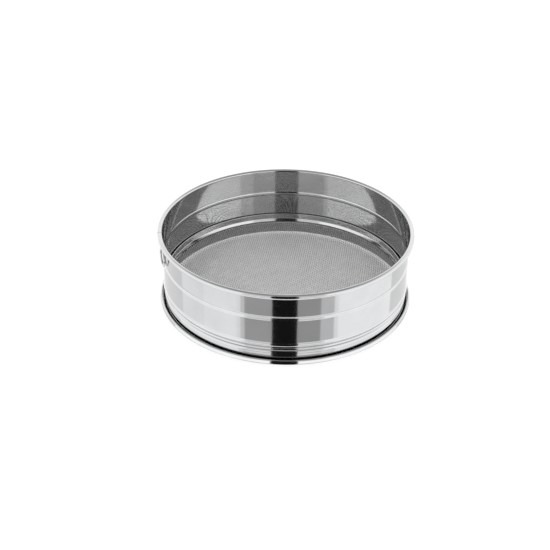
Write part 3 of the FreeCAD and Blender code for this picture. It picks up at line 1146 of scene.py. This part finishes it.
@dataclass
class Studio:
    """Pale floor with painted shade under the sieve, a ring of painted shade under the cloth, white
    surroundings, reflection cards and the camera.
    """

    floor_size: float = 9.0
    floor_lift: float = 0.62
    # painted shade: the floor's lower glow inside the sieve's foot, and the radii over which it rises to
    # the full glow
    painted_shade_lift: float = 0.3
    shade_edge: tuple[float, float] = (0.138, 0.148)
    # painted shade: a dim glowing ring under the cloth that only the steel's reflections see
    shade_reach: tuple[float, float] = (0.104, 0.144)
    shade_level: float = 0.0005
    shade_glow: float = 0.15
    shade_steps: int = 64
    floor_tone: float = 0.62
    card_distance: float = 7.0
    card_rows: int = 8
    card_columns: int = 12
    room: tuple[tuple[float, float], ...] = (
        (-90.0, 1.3),
        (-48.0, 1.4),
        (-38.0, 1.04),
        (-26.0, 1.2),
        (-22.0, 1.5),
        (-10.0, 1.5),
        (2.0, 1.18),
        (12.0, 1.18),
        (28.0, 1.35),
        (40.0, 0.8),
        (60.0, 0.42),
        (90.0, 0.42),
    )
    camera_place: Vector = Vector((0.0, -1.1352, 0.7361))
    camera_target: Vector = Vector((0.0, 0.0, 0.0454))
    sensor_width: float = 36.0
    lens: float = 72.8
    shift: tuple[float, float] = (-0.0193, -0.0275)
    roll: float = 0.886
    cards: tuple[Card, ...] = (
        Card("front_black_flag", -11.4, 11.4, -55.0, 50.0, 0.01),
        Card("low_grey_left", -37.0, -11.4, -46.0, -26.0, 0.47),
        Card("low_grey_left_edge", -41.0, -37.0, -46.0, -26.0, 0.8),
        Card("low_grey_right", 11.4, 33.0, -46.0, -26.0, 0.42),
        Card("low_grey_right_edge", 33.0, 46.0, -46.0, -26.0, 0.72),
        Card("upper_grey_left", -34.0, -11.4, -8.0, 45.0, 0.85),
        Card("upper_grey_right", 11.4, 34.0, -8.0, 45.0, 0.85),
        Card("low_white_left", -80.0, -45.0, -46.0, -28.0, 1.17),
        Card("low_white_right", 50.0, 115.0, -46.0, -28.0, 1.25),
        Card("low_side_left", -160.0, -110.0, -60.0, -22.0, 0.92),
        Card("low_side_right", 115.0, 160.0, -60.0, -22.0, 0.92),
    )

    def glow(self, name: str, strength: float) -> bpy.types.Material:
        """An even glow.

        Args:
            name: the material's name.
            strength: its radiance.

        Returns:
            The material.
        """
        recipe = Recipe(name)
        material = recipe.close(recipe.add("ShaderNodeEmission", Strength=strength))
        material.cycles.emission_sampling = "NONE"
        return material

    def raise_card(self, card: Card) -> None:
        """Makes one card as a piece of a large sphere round the sieve.

        Args:
            card: the card.
        """
        row_height = (card.high - card.low) / self.card_rows
        rises = [card.low + row_height * row for row in range(self.card_rows + 1)]
        piece = draw(card.name, [facing(rise) * self.card_distance for rise in rises])
        turn_round(card.left - QUARTER_TURN, card.right - card.left, self.card_columns)
        bpy.ops.object.mode_set(mode="OBJECT")
        piece.data.materials.append(self.glow(card.name, card.glow))
        self.show_to_reflections_only(piece)

    def show_to_reflections_only(self, piece: bpy.types.Object) -> None:
        """Hides a piece from everything but the steel's reflections."""
        for ray in ("camera", "diffuse", "shadow", "transmission", "volume_scatter"):
            setattr(piece, "visible_" + ray, False)

    def from_above_only(self, recipe: Recipe, shader: bpy.types.Node) -> bpy.types.Material:
        """Finishes a level surface's material so that it can't be seen from below.

        Args:
            recipe: the material so far.
            shader: how the surface looks from above.

        Returns:
            The material.
        """
        clear = recipe.add("ShaderNodeBsdfTransparent")
        behind = recipe.add("ShaderNodeNewGeometry").outputs["Backfacing"]
        mixed = recipe.add("ShaderNodeMixShader", {"Fac": behind})
        recipe.tree.links.new(shader.outputs[0], mixed.inputs[1])
        recipe.tree.links.new(clear.outputs[0], mixed.inputs[2])
        material = recipe.close(mixed)
        material.cycles.emission_sampling = "NONE"
        return material

    def lay_floor(self) -> None:
        """Lays a plain pale floor, whose glow is turned down under the sieve as painted shade."""
        bpy.ops.object.select_all(action="DESELECT")
        bpy.ops.mesh.primitive_plane_add(size=self.floor_size)
        floor = bpy.context.object
        floor.name = "studio_floor"
        recipe = Recipe("pale_floor")
        place = recipe.add("ShaderNodeTexCoord").outputs["Object"]
        away = recipe.add("ShaderNodeVectorMath", {"Vector": place})
        away.operation = "LENGTH"
        # painted shade: the floor's glow is lower inside the sieve's foot than outside it, over the radii
        # of shade_edge
        inner, outer = self.shade_edge
        lift = recipe.add(
            "ShaderNodeMapRange",
            {"Value": away.outputs["Value"]},
            From_Min=inner,
            From_Max=outer,
            To_Min=self.painted_shade_lift,
            To_Max=self.floor_lift,
        )
        pale = recipe.add("ShaderNodeBsdfDiffuse", Color=(*(self.floor_tone,) * 3, 1.0))
        glow = recipe.add("ShaderNodeEmission", {"Strength": lift.outputs[0]})
        lit = recipe.add("ShaderNodeAddShader")
        recipe.tree.links.new(pale.outputs[0], lit.inputs[0])
        recipe.tree.links.new(glow.outputs[0], lit.inputs[1])
        floor.data.materials.append(self.from_above_only(recipe, lit))
        floor.visible_glossy = False

    def lay_shade(self) -> None:
        """Lays a dim glowing ring under the cloth, painted shade that the steel reflects in place of the
        floor's shade.
        """
        inner, outer = self.shade_reach
        piece = draw("painted_floor_shade", [Vector((reach, 0.0, self.shade_level)) for reach in (inner, outer)])
        turn_round(0.0, FULL_TURN, self.shade_steps)
        bpy.ops.object.mode_set(mode="OBJECT")
        recipe = Recipe("painted_floor_shade")
        # painted shade: the ring's dim glow stands for the floor's shade under the cloth
        dim = recipe.add("ShaderNodeEmission", Strength=self.shade_glow)
        piece.data.materials.append(self.from_above_only(recipe, dim))
        self.show_to_reflections_only(piece)

    def light(self) -> None:
        """Surrounds the sieve with a soft white room, whose brightness changes with the height."""
        world = bpy.data.worlds.new("white_room")
        bpy.context.scene.world = world
        world.use_nodes = True
        nodes, links = world.node_tree.nodes, world.node_tree.links
        nodes.clear()
        place = nodes.new("ShaderNodeTexCoord")
        split = nodes.new("ShaderNodeSeparateXYZ")
        height = nodes.new("ShaderNodeMapRange")
        ramp = nodes.new("ShaderNodeValToRGB")
        room = nodes.new("ShaderNodeBackground")
        output = nodes.new("ShaderNodeOutputWorld")
        height.inputs["From Min"].default_value = -1.0
        brightest = max(glow for _, glow in self.room)
        room.inputs["Strength"].default_value = brightest
        stops = ramp.color_ramp.elements
        while len(stops) < len(self.room):
            stops.new(0.5)
        for stop, (rise, glow) in zip(stops, self.room):
            stop.position = (math.sin(math.radians(rise)) + 1) / 2
            stop.color = (*(glow / brightest,) * 3, 1.0)
        links.new(place.outputs["Generated"], split.inputs[0])
        links.new(split.outputs["Z"], height.inputs["Value"])
        links.new(height.outputs[0], ramp.inputs[0])
        links.new(ramp.outputs[0], room.inputs["Color"])
        links.new(room.outputs[0], output.inputs["Surface"])

    def set_camera(self) -> None:
        """Sets the camera and the colour view."""
        data = bpy.data.cameras.new("studio_camera")
        data.sensor_width = self.sensor_width
        data.lens = self.lens
        data.shift_x, data.shift_y = self.shift
        camera = bpy.data.objects.new("studio_camera", data)
        bpy.context.scene.collection.objects.link(camera)
        look = (self.camera_target - self.camera_place).to_track_quat("-Z", "Y")
        camera.rotation_mode = "QUATERNION"
        camera.location = self.camera_place
        camera.rotation_quaternion = look @ Quaternion(UPRIGHT, math.radians(self.roll))
        scene = bpy.context.scene
        scene.camera = camera
        scene.view_settings.view_transform = "Standard"
        scene.view_settings.look = "None"

    def build(self) -> None:
        """Makes the whole studio."""
        self.lay_floor()
        self.lay_shade()
        for card in self.cards:
            self.raise_card(card)
        self.light()
        self.set_camera()


def main() -> None:
    """Builds the sieve and the studio."""
    logging.basicConfig(level=logging.INFO, format="%(name)s: %(message)s")
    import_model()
    drum_sheet = RolledSheet("polished_drum_sheet").material()
    ring_sheet = RolledSheet("bright_ring_sheet", roughest=0.16).material()
    cloth_wire = DrawnWire("drawn_cloth_wire").material()
    core_wire = DrawnWire("drawn_core_wire").material()
    weld = GroundWeld("ground_weld").material()
    Drum().build(drum_sheet, weld, core_wire)
    Screen().build(ring_sheet, cloth_wire)
    Hanger().build(drum_sheet, weld)
    Studio().build()


if __name__ == "__main__":
    main()
